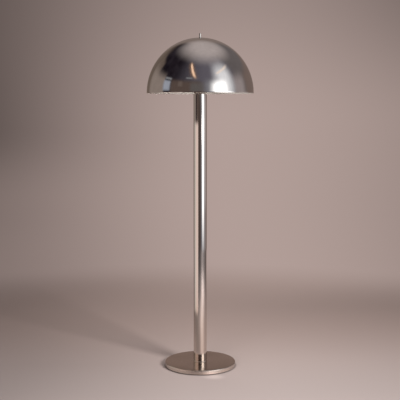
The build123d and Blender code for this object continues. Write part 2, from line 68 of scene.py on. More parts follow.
# shader maths: a wrapped socket, so that masks and mixes read as plain expressions
class Wave:
    def __init__(self, made, socket):
        self.made, self.socket = made, socket

    def maths(self, operation, *others):
        sockets = dict(enumerate([self, *others]))
        return self.made.node("ShaderNodeMath", {"operation": operation}, sockets)

    def __add__(self, other): return self.maths("ADD", other)
    def __radd__(self, other): return self.maths("ADD", other)
    def __sub__(self, other): return self.maths("SUBTRACT", other)
    def __rsub__(self, other): return (self * -1) + other
    def __mul__(self, other): return self.maths("MULTIPLY", other)
    def __rmul__(self, other): return self.maths("MULTIPLY", other)
    def __truediv__(self, other): return self.maths("DIVIDE", other)
    def __rtruediv__(self, other): return self.maths("POWER", -1) * other
    def __pow__(self, other): return self * self if other == 2 else self.maths("POWER", other)
    def atLeast(self, other): return self.maths("MAXIMUM", other)
    def atMost(self, other): return self.maths("MINIMUM", other)
    def size(self): return self.maths("ABSOLUTE")

    # 0 below low, 1 above high, smooth between
    def rise(self, low, high):
        return self.made.node("ShaderNodeMapRange", {"interpolation_type": "SMOOTHSTEP"},
                              {"Value": self, "From Min": low, "From Max": high})


# 1 from the second to the third value, falling to 0 at the first and the fourth
def between(value, span):
    return value.rise(span[0], span[1]) * (1 - value.rise(span[2], span[3]))


# one material, with one method that adds any node
class Finish:
    def __init__(self, name):
        self.material = bpy.data.materials.new(name)
        self.material.use_nodes = True
        self.tree = self.material.node_tree
        self.tree.nodes.clear()
        self.place = None

    # settings are set first, then sockets by name or number; gives back the first output, or the named one
    def node(self, kind, settings=None, sockets=None, output=0):
        made = self.tree.nodes.new(kind)
        for name, value in (settings or {}).items():
            setattr(made, name, value)
        for name, value in (sockets or {}).items():
            if isinstance(value, Wave):
                self.tree.links.new(value.socket, made.inputs[name])
            else:
                made.inputs[name].default_value = value
        return Wave(self, made.outputs[output]) if made.outputs else None

    def spot(self):
        if self.place is None:
            self.place = self.node("ShaderNodeTexCoord", output="Object")
        return self.place

    def axes(self):
        split = self.node("ShaderNodeSeparateXYZ", sockets={0: self.spot()})
        outputs = split.socket.node.outputs
        return [Wave(self, outputs[number]) for number in range(3)]

    def noise(self, scale, detail=3.0, stretch=(1, 1, 1), roughness=0.5):
        turned = self.node("ShaderNodeMapping", sockets={"Vector": self.spot(), "Scale": stretch})
        sockets = {"Vector": turned, "Scale": scale, "Detail": detail, "Roughness": roughness}
        return self.node("ShaderNodeTexNoise", sockets=sockets)

    def blend(self, amount, first, second):
        sockets = {number: colour if isinstance(colour, Wave) else (*colour, 1)
                   for number, colour in ((6, first), (7, second))}
        mixed = self.node("ShaderNodeMix", {"data_type": "RGBA"}, {0: amount, **sockets})
        return Wave(self, mixed.socket.node.outputs[2])

    def bump(self, height, distance):
        return self.node("ShaderNodeBump", sockets={"Height": height, "Distance": distance, "Strength": 1.0})

    # a colour or number, plain or worked out, for each named socket of the main shader
    def surface(self, **sockets):
        names = {"colour": "Base Color", "roughness": "Roughness", "metallic": "Metallic",
                 "normal": "Normal", "coat": "Coat Weight", "scatter": "Subsurface Weight"}
        values = {}
        for name, value in sockets.items():
            values[names[name]] = (*value, 1) if isinstance(value, tuple) and len(value) == 3 else value
        return self.shown(self.node("ShaderNodeBsdfPrincipled", sockets=values))

    def shown(self, shader):
        self.node("ShaderNodeOutputMaterial", sockets={"Surface": shader})
        return self.material


# the finishes

def polishedAluminium():
    look = {"colour": (0.80, 0.785, 0.77), "haze": (0.62, 0.60, 0.585), "roughness": 0.075, "smudge": 0.05,
            "hazeMost": 0.35, "ringMost": 0.12, "rings": 0.03, "ringsOut": 420, "ringsUp": 160,
            "relief": 0.00002}
    made = Finish("polishedAluminium")
    x, y, z = made.axes()
    around = (x * x + y * y) ** 0.5
    rings = made.node("ShaderNodeTexNoise", {"noise_dimensions": "1D"},
                      {"W": around * look["ringsOut"] + z * look["ringsUp"], "Scale": 1.0, "Detail": 4.0,
                       "Roughness": 0.7})
    cloud = made.noise(9, 4)
    dirt = cloud.rise(0.5, 0.8)
    return made.surface(
        colour=made.blend(dirt * look["hazeMost"] + rings * look["ringMost"], look["colour"], look["haze"]),
        metallic=1.0,
        roughness=look["roughness"] + dirt * look["smudge"] + rings * look["rings"],
        normal=made.bump(rings, look["relief"]))


def whiteEnamel():
    look = {"colour": (0.84, 0.82, 0.78), "aged": (0.79, 0.76, 0.70), "roughness": 0.32, "cloudy": 0.08,
            "coat": 0.25, "peel": 0.00003}
    made = Finish("whiteEnamel")
    cloud = made.noise(14, 4)
    peel = made.noise(900, 2)
    return made.surface(colour=made.blend(cloud.rise(0.45, 0.8), look["colour"], look["aged"]),
                        roughness=look["roughness"] + cloud * look["cloudy"], coat=look["coat"],
                        normal=made.bump(peel, look["peel"]))


# duller and warmer near the floor: rougher there, and the darker, warmer colour is a painted reflection of
# the warm floor
def polishedTube():
    look = {"colour": (0.80, 0.78, 0.76), "dull": (0.635, 0.545, 0.475), "roughness": 0.055, "worn": 0.05,
            "wornMost": 0.3, "floorReflectionMost": 0.7, "marks": 0.03, "foot": 0.02, "reflectedAndRougherFootHeights": (0.12, 0.42),
            "relief": 0.00001}
    made = Finish("polishedTube")
    z = made.axes()[2]
    cloud = made.noise(6, 4, (1, 1, 0.35))
    marks = made.noise(260, 3, (1, 1, 0.02))
    worn = cloud.rise(0.55, 0.85)
    # painted reflection of the floor: this mask darkens and warms the colour near the floor, and also
    # roughens it
    foot = 1 - z.rise(*look["reflectedAndRougherFootHeights"])
    return made.surface(
        colour=made.blend(worn * look["wornMost"] + foot * look["floorReflectionMost"], look["colour"], look["dull"]),
        metallic=1.0,
        roughness=look["roughness"] + worn * look["worn"] + marks * look["marks"] + foot * look["foot"],
        normal=made.bump(marks, look["relief"]))


def polishedTrim():
    look = {"colour": (0.82, 0.80, 0.77), "dull": (0.66, 0.63, 0.59), "roughness": 0.12, "cloudy": 0.08}
    made = Finish("polishedTrim")
    cloud = made.noise(60, 3)
    return made.surface(colour=made.blend(cloud.rise(0.5, 0.8), look["colour"], look["dull"]),
                        metallic=1.0, roughness=look["roughness"] + cloud * look["cloudy"])


# brushed along x on top, turned round the side; the side's lighter colour is a painted highlight and the
# top's darker, warmer colour is painted shade, on one nickel
def brushedNickel():
    look = {"colour": (0.50, 0.425, 0.37), "dull": (0.375, 0.31, 0.262), "side": (0.62, 0.56, 0.51),
            "rim": (0.1495, 0.1525), "roughness": 0.13, "cloudy": 0.07, "lines": 0.05, "rimRougher": 0.05,
            "cloudMost": 0.45, "broadMost": 0.2, "shadedBackLeftMost": 0.4, "shadedBackLeft": (-0.16, 0.2),
            "lineRelief": 0.8, "broadRelief": 0.5, "turnedRelief": 30, "turnedScale": 900,
            "relief": 0.000016}
    made = Finish("brushedNickel")
    x, y, z = made.axes()
    lines = made.noise(1100, 2, (0.008, 1, 1), 0.6)
    broad = made.noise(120, 3, (0.02, 1, 1))
    turned = made.node("ShaderNodeTexNoise", {"noise_dimensions": "1D"},
                       {"W": z * look["turnedScale"], "Scale": 1.0, "Detail": 3.0})
    cloud = made.noise(7, 4)
    # painted highlight: the side takes a lighter colour than the top
    rim = ((x * x + y * y) ** 0.5).rise(*look["rim"])
    # painted shade: the back left of the top is darkened, the side away from the key lamp
    shadedBackLeft = 1 - (x * 0.7 - y).rise(*look["shadedBackLeft"])
    worn = cloud.rise(0.35, 0.75) * look["cloudMost"] + broad * look["broadMost"] \
        + shadedBackLeft * look["shadedBackLeftMost"]
    top = made.blend(worn, look["colour"], look["dull"])
    brushing = (lines * look["lineRelief"] + broad * look["broadRelief"]) * (1 - rim)
    return made.surface(
        colour=made.blend(rim, top, look["side"]), metallic=1.0,
        roughness=look["roughness"] + cloud * look["cloudy"] + lines * look["lines"]
        + rim * look["rimRougher"],
        normal=made.bump(brushing + turned * rim * look["turnedRelief"], look["relief"]))


def plainMetal(name, colour, dull, roughness, scale=90, cloudy=0.12, grain=0.00002):
    made = Finish(name)
    cloud = made.noise(scale, 4)
    fine = made.noise(scale * 14, 2)
    return made.surface(colour=made.blend(cloud.rise(0.4, 0.75), colour, dull), metallic=1.0,
                        roughness=roughness + cloud * cloudy, normal=made.bump(fine, grain))


def plainCoat(name, colour, dull, roughness, scale=70, grain=0.00003, cloudy=0.1, **more):
    made = Finish(name)
    cloud = made.noise(scale, 4)
    fine = made.noise(scale * 12, 2)
    return made.surface(colour=made.blend(cloud.rise(0.4, 0.8), colour, dull),
                        roughness=roughness + cloud * cloudy, normal=made.bump(fine, grain), **more)


finishes = {
    "polished_aluminium": polishedAluminium(),
    "enamel": whiteEnamel(),
    "polished_tube": polishedTube(),
    "polished_trim": polishedTrim(),
    "brushed_nickel": brushedNickel(),
    "iron": plainCoat("castIron", (0.06, 0.058, 0.056), (0.10, 0.07, 0.05), 0.75, 50, 0.0003),
    "pad_rubber": plainCoat("padRubber", (0.035, 0.032, 0.030), (0.055, 0.05, 0.046), 0.8, 120, 0.0001),
    "plated_steel": plainMetal("platedSteel", (0.62, 0.61, 0.58), (0.50, 0.48, 0.44), 0.28),
    "cast_white": plainCoat("castWhite", (0.80, 0.79, 0.76), (0.72, 0.70, 0.66), 0.38, 60, 0.00012),
    "cup_brass": plainMetal("cupBrass", (0.72, 0.53, 0.25), (0.52, 0.37, 0.17), 0.24),
    "contact_brass": plainMetal("contactBrass", (0.78, 0.60, 0.30), (0.60, 0.44, 0.20), 0.2),
    "porcelain": plainCoat("porcelain", (0.83, 0.81, 0.76), (0.77, 0.74, 0.68), 0.22, 40, 0.00002,
                           coat=0.5),
    "bulb_cap_metal": plainMetal("bulbCapMetal", (0.74, 0.73, 0.71), (0.56, 0.54, 0.51), 0.26),
    "frosted_glass": plainCoat("frostedGlass", (0.86, 0.85, 0.81), (0.82, 0.80, 0.75), 0.3, 30, 0.00001,
                               scatter=0.4),
    "black_plastic": plainCoat("blackPlastic", (0.022, 0.021, 0.020), (0.04, 0.038, 0.035), 0.45, 100,
                               0.00006),
    "wire_vinyl": plainCoat("wireVinyl", (0.42, 0.33, 0.19), (0.32, 0.25, 0.15), 0.4),
    "satinTrim": plainMetal("satinTrim", (0.80, 0.74, 0.68), (0.68, 0.62, 0.56), 0.30, 60),
    "capGlass": plainCoat("capGlass", (0.02, 0.02, 0.024), (0.035, 0.034, 0.036), 0.16, 120, 0.00001,
                          coat=0.6),
    "solder": plainMetal("solder", (0.58, 0.57, 0.55), (0.44, 0.43, 0.42), 0.38, 300),
}
print("finishes made:", len(finishes))

slotOf = {part["node"]: part["material_slot"] for part in frame["record"]["subparts"]}
for name, node in nodes.items():
    node.data.materials.clear()
    node.data.materials.append(finishes[slotOf[name]])
print("CAD nodes given their finishes")


# modelling: outlines are turned, points pressed and faces refinished

def clearSelection():
    if bpy.context.mode != "OBJECT":
        bpy.ops.object.mode_set(mode="OBJECT")
    bpy.ops.object.select_all(action="DESELECT")


# points on an arc, seen as radius and height
def arcPoints(middle, radius, start, end, steps):
    turns = [radians(start + (end - start) * step / steps) for step in range(steps + 1)]
    return [(middle[0] + radius * cos(turn), middle[1] + radius * sin(turn)) for turn in turns]


nearAxis, weldReach = 0.00001, 0.000002


# turns outlines round the upright axis, each a circle extruded and scaled ring by ring; a point on the
# axis closes one, and outlines that share a ring are welded there
def turnedPiece(name, outlines, sides=128, closed=True, smooth=40):
    clearSelection()
    bpy.ops.mesh.primitive_circle_add(vertices=3)
    piece = bpy.context.object
    piece.name = piece.data.name = name
    bpy.ops.object.mode_set(mode="EDIT")
    bpy.ops.mesh.delete(type="VERT")
    for outline in outlines if isinstance(outlines[0], list) else [outlines]:
        bpy.ops.mesh.select_all(action="DESELECT")
        start = outline[0]
        bpy.ops.mesh.primitive_circle_add(vertices=sides, radius=start[0], location=(0, 0, start[1]))
        loop = outline + [start] if closed else outline
        for (nearRadius, nearHeight), (farRadius, farHeight) in zip(loop, loop[1:]):
            step = {"value": (0, 0, farHeight - nearHeight)}
            bpy.ops.mesh.extrude_region_move(TRANSFORM_OT_translate=step)
            if farRadius < nearAxis:
                bpy.ops.mesh.merge(type="CENTER")
            else:
                grow = farRadius / nearRadius
                bpy.ops.transform.resize(value=(grow, grow, 1), center_override=(0, 0, 0))
    bpy.ops.mesh.select_all(action="SELECT")
    bpy.ops.mesh.remove_doubles(threshold=weldReach)
    bpy.ops.mesh.normals_make_consistent(inside=False)
    bpy.ops.object.mode_set(mode="OBJECT")
    bpy.ops.object.shade_smooth_by_angle(angle=radians(smooth))
    return piece


# presses a helix into a piece's rings between two heights: points move in, most where the wave is highest
def pressThread(piece, low, high, pitch, depth, innermost):
    for vertex in piece.data.vertices:
        point = vertex.co
        across = point.xy.length
        if low < point.z < high and across > innermost:
            wave = 0.5 + 0.5 * cos(2 * pi * (point.z / pitch) - atan2(point.y, point.x))
            fade = min(1, (point.z - low) / pitch, (high - point.z) / pitch)
            point.xy *= 1 - depth * fade * wave / across


# the faces of a piece whose middle passes the test take another finish
def refinish(piece, finish, chosen):
    piece.data.materials.append(finishes[finish])
    for face in piece.data.polygons:
        if chosen(face.center):
            face.material_index = len(piece.data.materials) - 1


def dress(piece, finish, body, *stoodFor):
    if not piece.data.materials:
        piece.data.materials.append(finishes[finish])
    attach(piece, body)
    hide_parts(*stoodFor)


shadeSizes = {"radius": 0.2286, "height": 0.2345, "wall": 0.0012, "hem": 0.0026, "hemHeight": 0.004,
              "bead": 0.0005, "lip": 0.0001, "hole": 0.0051, "outsideFrom": 0.5, "insideFrom": 1.4,
              "steps": 40, "sides": 288}


# two arcs that meet at 45 degrees, outside and inside, and a folded hem round the opening
def makeShade():
    size = shadeSizes
    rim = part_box("shade")[0].z
    radius, height, wall, bead = (size[key] for key in ("radius", "height", "wall", "bead"))
    shift = (height - radius) / (2 - sqrt(2))
    side, crown = (-shift, rim), (0, rim + shift)
    top = degrees(atan2(sqrt((height - shift) ** 2 - size["hole"] ** 2), size["hole"]))
    steps, hem, hemTop = size["steps"], radius - size["hem"], rim + size["hemHeight"]
    outside = arcPoints(side, radius + shift, size["outsideFrom"], 45, steps) \
        + arcPoints(crown, height - shift, 45, top, steps)[1:]
    inside = arcPoints(crown, height - shift - wall, top, 45, steps) \
        + arcPoints(side, radius + shift - wall, 45, size["insideFrom"], steps)[1:]
    foot = [(hem + bead, hemTop), (hem, hemTop - bead), (hem, rim + bead), (hem + bead, rim),
            (radius - bead * 1.6, rim), (radius - bead * 0.5, rim + bead * 0.5),
            (radius - size["lip"], rim + bead * 1.6)]
    piece = turnedPiece("shadeDome", outside + inside + foot, size["sides"])
    piece.data.materials.append(finishes["polished_aluminium"])
    piece.data.materials.append(finishes["enamel"])
    for face in piece.data.polygons:
        middle, normal = face.center, face.normal
        inward = normal.x * middle.x + normal.y * middle.y < 0
        if inward or (normal.z < -0.3 and middle.xy.length < hem):
            face.material_index = 1
    dress(piece, "polished_aluminium", "lamp", "shade")


makeShade()
print("shade made")

poleSizes = {"radius": 0.028575, "wall": 0.0015, "edge": 0.0003, "sides": 160, "rings": 12}


def makePole():
    low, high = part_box("pole_tube")
    radius, bore, edge = poleSizes["radius"], poleSizes["radius"] - poleSizes["wall"], poleSizes["edge"]
    rings = poleSizes["rings"]
    heights = [low.z + edge + (high.z - low.z - 2 * edge) * step / rings for step in range(rings + 1)]
    outline = [(radius - edge, low.z)] + [(radius, height) for height in heights]
    outline += [(radius - edge, high.z), (bore, high.z), (bore, low.z)]
    dress(turnedPiece("poleTube", outline, poleSizes["sides"]), "polished_tube", "lamp", "pole_tube")


makePole()

baseSizes = {"radius": 0.1545, "edge": 0.0045, "wall": 0.0012, "hole": 0.0051, "chamfer": 0.0003,
             "outerRing": 0.10, "innerRing": 0.05, "sides": 224}


def makeBase():
    low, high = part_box("base_cover")
    radius, edge, wall, hole = (baseSizes[key] for key in ("radius", "edge", "wall", "hole"))
    chamfer, outer, inner = (baseSizes[key] for key in ("chamfer", "outerRing", "innerRing"))
    corner = (radius - edge, high.z - edge)
    outline = [(radius, low.z + chamfer)] + arcPoints(corner, edge, 0, 90, 8)
    outline += [(outer, high.z), (inner, high.z), (hole, high.z)]
    outline += [(hole, high.z - wall), (inner, high.z - wall)]
    outline += arcPoints(corner, edge - wall, 90, 0, 6) + [(radius - wall, low.z), (radius - chamfer, low.z)]
    dress(turnedPiece("baseCover", outline, baseSizes["sides"]), "brushed_nickel", "lamp", "base_cover")


makeBase()
print("pole and base made")

# the ring under the pole and the pad under the base
footSizes = {"proud": 0.0016, "edge": 0.0012, "spigot": 0.026775, "spigotWall": 0.002, "flange": 0.0028,
             "hole": 0.0051, "chamfer": 0.0003, "spigotChamfer": 0.0004, "sides": 160,
             "padEdge": 0.0007, "padGroove": 0.0005, "padRim": 0.03, "padMiddle": 0.04, "padSides": 192}


def makeFoot():
    low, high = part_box("foot_ring")
    size = footSizes
    radius, top = poleSizes["radius"] + size["proud"], low.z + size["flange"]
    spigot, cut, chamfer = size["spigot"], size["spigotChamfer"], size["chamfer"]
    bore = spigot - size["spigotWall"]
    outline = [(size["hole"], low.z), (radius - chamfer, low.z), (radius, low.z + chamfer)]
    outline += arcPoints((radius - size["edge"], top - size["edge"]), size["edge"], 0, 90, 8)
    outline += [(spigot, top), (spigot, high.z - cut), (spigot - cut, high.z),
                (bore, high.z), (bore, top), (size["hole"], top)]
    dress(turnedPiece("footRing", outline, size["sides"]), "satinTrim", "lamp", "foot_ring")
    low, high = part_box("foot_pad")
    radius, edge, groove, middle = high.x, size["padEdge"], size["padGroove"], size["padMiddle"]
    rim = radius - size["padRim"]
    outline = [(rim, low.z + groove), (rim + groove, low.z), (radius - edge, low.z)]
    outline += arcPoints((radius - edge, low.z + edge), edge, -60, 0, 4) + [(radius, high.z), (0, high.z)]
    under = [outline[0], (middle, low.z + groove), (middle - groove, low.z), (0, low.z)]
    piece = turnedPiece("footPad", [outline, under], size["padSides"], closed=False)
    dress(piece, "pad_rubber", "lamp", "foot_pad")


makeFoot()

# knob and ring nut on the dome
knobSizes = {"radius": 0.00475, "bore": 0.00305, "boreDepth": 0.010, "edge": 0.0014, "chamfer": 0.0003,
             "groove": 0.0008, "depth": 0.0004, "slant": 0.0001, "low": 0.0026, "drop": 0.0052,
             "crown": 0.0012, "dimple": 0.0001, "sides": 72}
nutSizes = {"bore": 0.005, "edge": 0.0003, "teeth": 48, "tooth": 0.00018}


def makeKnob():
    low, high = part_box("knob")
    size = knobSizes
    radius, bore, edge = size["radius"], size["bore"], size["edge"]
    chamfer, slant, middle = size["chamfer"], size["slant"], radius - size["depth"]
    outline = [(bore, low.z), (radius - chamfer, low.z), (radius, low.z + chamfer)]
    for foot in (low.z + size["low"], high.z - size["drop"]):
        top = foot + size["groove"]
        outline += [(radius, foot - slant), (middle, foot + slant)]
        outline += [(middle, top - slant), (radius, top + slant)]
    outline += arcPoints((radius - edge, high.z - edge), edge, 0, 90, 8)
    outline += [(size["crown"], high.z), (0, high.z - size["dimple"])]
    inside = [(bore, low.z), (bore, low.z + size["boreDepth"]), (0, low.z + size["boreDepth"])]
    piece = turnedPiece("turnKnob", [outline, inside], size["sides"], closed=False, smooth=30)
    dress(piece, "polished_trim", turningBody, "knob")


def makeRingNut():
    low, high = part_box("ring_nut")
    size = nutSizes
    radius, bore, edge = high.x, size["bore"], size["edge"]
    outline = [(bore, low.z), (radius - edge, low.z), (radius, low.z + edge), (radius, high.z - edge)]
    outline += [(radius - edge, high.z), (bore + edge, high.z), (bore, high.z - edge)]
    piece = turnedPiece("ringNut", outline, size["teeth"] * 4)
    for vertex in piece.data.vertices:
        across = vertex.co.xy.length
        if across > radius - edge / 2:
            turn = atan2(vertex.co.y, vertex.co.x) * size["teeth"]
            vertex.co.xy *= 1 - size["tooth"] * (0.5 + 0.5 * cos(turn)) / across
    dress(piece, "polished_trim", "lamp", "ring_nut")


turningBody = next(name for name, body in frame["bodies"].items()
                   if nodes["knob"] in body.children_recursive)
makeKnob()
makeRingNut()
print("foot, knob and ring nut made")

# each piece of an arm is turned upright once, then copied out along the three arms
armSizes = {"tilt": 30, "azimuths": (90, 210, 330), "root": 1.246882, "port": 0.035236, "sides": 64}


def alongArms(master, finish, node):
    for number, azimuth in enumerate(armSizes["azimuths"], start=1):
        piece = master.copy()
        piece.data = master.data.copy()
        piece.name = piece.data.name = f"{master.name}_{number}"
        scene.collection.objects.link(piece)
        clearSelection()
        piece.select_set(True)
        bpy.context.view_layer.objects.active = piece
        lean = Matrix.Rotation(radians(90 - armSizes["tilt"]), 4, "Y")
        piece.matrix_world = Matrix.Translation((0, 0, armSizes["root"])) \
            @ Matrix.Rotation(radians(azimuth), 4, "Z") @ lean
        bpy.ops.object.transform_apply(location=True, rotation=True, scale=True)
        dress(piece, finish, "lamp", f"{node}_{number}")
    bpy.data.objects.remove(master)


bulbSizes = {"foot": 0.062236, "tip": 0.0042, "cone": 0.0114, "coneLength": 0.005, "cap": 0.0131,
             "capLength": 0.024, "neck": 0.012, "grip": 0.007, "lip": 0.002, "glass": 0.030, "length": 0.110,
             "wall": 0.0009, "gap": 0.0001, "pitch": 0.0036, "thread": 0.0008, "collar": 0.0045, "steps": 8,
             "threadFoot": 0.002, "chamfer": 0.0003, "step": 0.0002, "solderTop": 0.0011}


def makeBulbs():
    size = bulbSizes
    foot, rim, neck, glass = size["foot"], size["foot"] + size["capLength"], size["neck"], size["glass"]
    shoulder, crown = rim + size["lip"], foot + size["length"] - glass
    rise = crown - shoulder
    flare = (neck ** 2 + rise ** 2 - glass ** 2) / (2 * (glass - neck))
    turn = degrees(atan2(rise, neck + flare))

    def skin(wall):
        return [(neck - wall, rim - size["grip"]), (neck - wall, shoulder)] \
            + arcPoints((neck + flare, shoulder), flare + wall, 180, 180 - turn, 12)[1:] \
            + arcPoints((0, crown), glass - wall, -turn, 90, 24)[1:]

    inside = skin(size["wall"])
    bulb = turnedPiece("bulbGlass", [[inside[0]] + skin(0), inside], armSizes["sides"], closed=False)
    alongArms(bulb, "frosted_glass", "bulb_glass")

    cap, bore = size["cap"], neck + size["gap"]
    coneTop, solderTop = foot + size["coneLength"], foot + size["solderTop"]
    threadLow, threadHigh = coneTop + size["threadFoot"], rim - size["collar"]
    rings = round((threadHigh - threadLow) / size["pitch"] * size["steps"])
    chamfer, step, tip = size["chamfer"], size["step"], size["tip"]
    outline = [(bore, rim), (cap - chamfer, rim), (cap, rim - chamfer)]
    outline += [(cap, threadHigh + (threadLow - threadHigh) * ring / rings) for ring in range(rings + 1)]
    outline += [(cap - step, coneTop + step * 5), (size["cone"], coneTop),
                (tip + step * 2, solderTop + step / 2), (tip, solderTop), (tip, foot + step * 3)]
    outline += [(tip * 0.8, foot + step), (tip * 0.4, foot), (0, foot)]
    inside = [(bore, rim), (bore, rim - size["grip"]), (0, rim - size["grip"])]
    piece = turnedPiece("bulbCap", [outline, inside], armSizes["sides"], closed=False, smooth=50)
    pressThread(piece, threadLow, threadHigh, size["pitch"], size["thread"], (bore + cap) / 2)
    piece.data.materials.append(finishes["bulb_cap_metal"])
    refinish(piece, "capGlass", lambda spot: spot.z < coneTop and spot.xy.length > tip)
    refinish(piece, "solder", lambda spot: spot.z < solderTop and spot.xy.length < tip)
    alongArms(piece, "bulb_cap_metal", "bulb_cap")


makeBulbs()
print("bulbs made")

socketSizes = {"cup": 0.017, "cupWall": 0.001, "hub": 0.008, "hubLength": 0.007, "flare": 0.005,
               "cupRim": 0.005, "bend": 0.0016, "fillet": 0.0006, "edge": 0.0005, "fold": 0.0004,
               "hole": 0.0051, "plug": 0.0157, "plugDrop": 0.004, "body": 0.0186, "bodyLength": 0.033,
               "lip": 0.0016, "shoulder": 0.0008, "groove": 0.0008, "grooves": (0.007, 0.011),
               "cavity": 0.0146, "floor": 0.007, "shell": 0.0143, "shellWall": 0.0005,
               "shellLength": 0.024, "shellHole": 0.0038, "threadFoot": 0.003, "threadTop": 0.0015,
               "pitch": 0.0036, "steps": 8}


def makeSockets():
    size, port = socketSizes, armSizes["port"]
    cup, wall, hub = size["cup"], size["cupWall"], size["hub"]
    hubTop = port + size["hubLength"]
    corner, face = hubTop + size["flare"], hubTop + size["flare"] + size["cupRim"]
    bend, fillet, edge, fold = (size[key] for key in ("bend", "fillet", "edge", "fold"))
    outline = [(size["hole"], port), (hub - edge, port), (hub, port + edge), (hub, hubTop - fillet),
               (hub + fillet, hubTop + fillet / 2)]
    outline += arcPoints((cup - bend, corner + bend * 0.6), bend, -55, 0, 5)
    outline += [(cup, face - fold), (cup - fold, face), (cup - wall, face), (cup - wall, corner + wall / 2),
                (hub - wall, hubTop + wall / 2), (size["hole"], hubTop + wall / 2)]
    alongArms(turnedPiece("socketCup", outline, armSizes["sides"]), "cup_brass", "socket_cup")

    body, lip, groove = size["body"], size["lip"], size["groove"]
    plugFoot, mouth, floor = face - size["plugDrop"], face + size["bodyLength"], face + size["floor"]
    plug, cavity, shoulder = size["plug"], size["cavity"], size["shoulder"]
    outline = [(plug - fold, plugFoot), (plug, plugFoot + fold), (plug, face),
               (body - shoulder, face), (body, face + shoulder)]
    for foot in (face + height for height in size["grooves"]):
        outline += [(body, foot), (body - groove, foot + groove), (body - groove, foot + groove * 2),
                    (body, foot + groove * 3)]
    outline += arcPoints((body - lip, mouth - lip), lip, 0, 90, 6)
    outline += arcPoints((cavity + lip / 2, mouth - lip / 2), lip / 2, 90, 180, 4)
    outline += [(cavity, floor), (0, floor)]
    under = [outline[0], (0, plugFoot)]
    piece = turnedPiece("socketBody", [outline, under], armSizes["sides"], closed=False)
    alongArms(piece, "porcelain", "socket_body")

    shell, thick, top = size["shell"], size["shellWall"], floor + size["shellLength"]
    threadLow, threadHigh = floor + size["threadFoot"], top - size["threadTop"]
    rings = round((threadHigh - threadLow) / size["pitch"] * size["steps"])
    heights = [threadLow + (threadHigh - threadLow) * ring / rings for ring in range(rings + 1)]
    hole, inner = size["shellHole"], shell - thick
    outline = [(hole, floor), (shell, floor)] + [(shell, height) for height in heights]
    outline += [(shell, top), (inner, top)] + [(inner, height) for height in reversed(heights)]
    outline += [(inner, floor + thick), (hole, floor + thick)]
    piece = turnedPiece("screwShell", outline, armSizes["sides"], smooth=50)
    pressThread(piece, threadLow, threadHigh, size["pitch"], thick, shell * 0.9)
    alongArms(piece, "contact_brass", "screw_shell")


makeSockets()
print("sockets made")

# the floor turns up into a far wall all round
stageSizes = {"middle": 0.4, "rings": (1, 2, 3.5), "flat": 5.2, "radius": 7.0, "rise": 5.0, "sides": 96}
paper = {
    "near": (0.475, 0.400, 0.385), "far": (0.475, 0.365, 0.335), "farFrom": (-0.6, 0.9),
    "high": (0.9, 2.9), "back": (2.0, 6.0), "low": (0.1, 0.9),
    "level": 0.88, "levelHigh": -0.26, "levels": [(-0.5, 0.15, 0.12), (-0.7, 1.25, -0.19), (1.1, 2.2, 0.16)],
    "middle": 0.35, "halfWidth": 1.5, "widening": 0.40,
    "left": {"reach": 0.85, "dark": 0.50, "back": 0.08, "low": 0.22, "high": -0.13},
    "right": {"reach": 1.2, "dark": 0.55, "high": 0.5},
    "floor": 1.01, "floorUntil": (1.0, 1.9), "floorAcross": (-0.85, 0.95), "floorLeft": 0.09,
    "floorRight": -0.31,
    "contact": 0.5, "contactEdge": (0.153, 0.163),
    "glint": (0.057, -0.173), "glintSize": (0.062, 0.050), "glintSeen": 0.36, "glintMirrored": 0.9,
    "shines": (1.5, 2.6), "strength": 0.95,
}
# how much brighter mirrors see the floor, by degrees round the lamp from the camera's side and metres out
mirroredFloor = [
    {"angle": (-8, 28, 42, 84), "gain": 0.55},
    {"angle": (34, 60, 75, 100), "out": (0.75, 1.7), "gain": 0.5},
    {"angle": (-100, -45, -22, 14), "out": (0.17, 0.3), "gain": -0.27},
]
mirroredShade = {"angle": (-60, -32, 4, 42), "out": (0.75, 1.7), "gain": -0.66}


def sector(part, angle, across):
    amount = between(angle, part["angle"]) * part["gain"]
    return amount * across.rise(*part["out"]) if "out" in part else amount


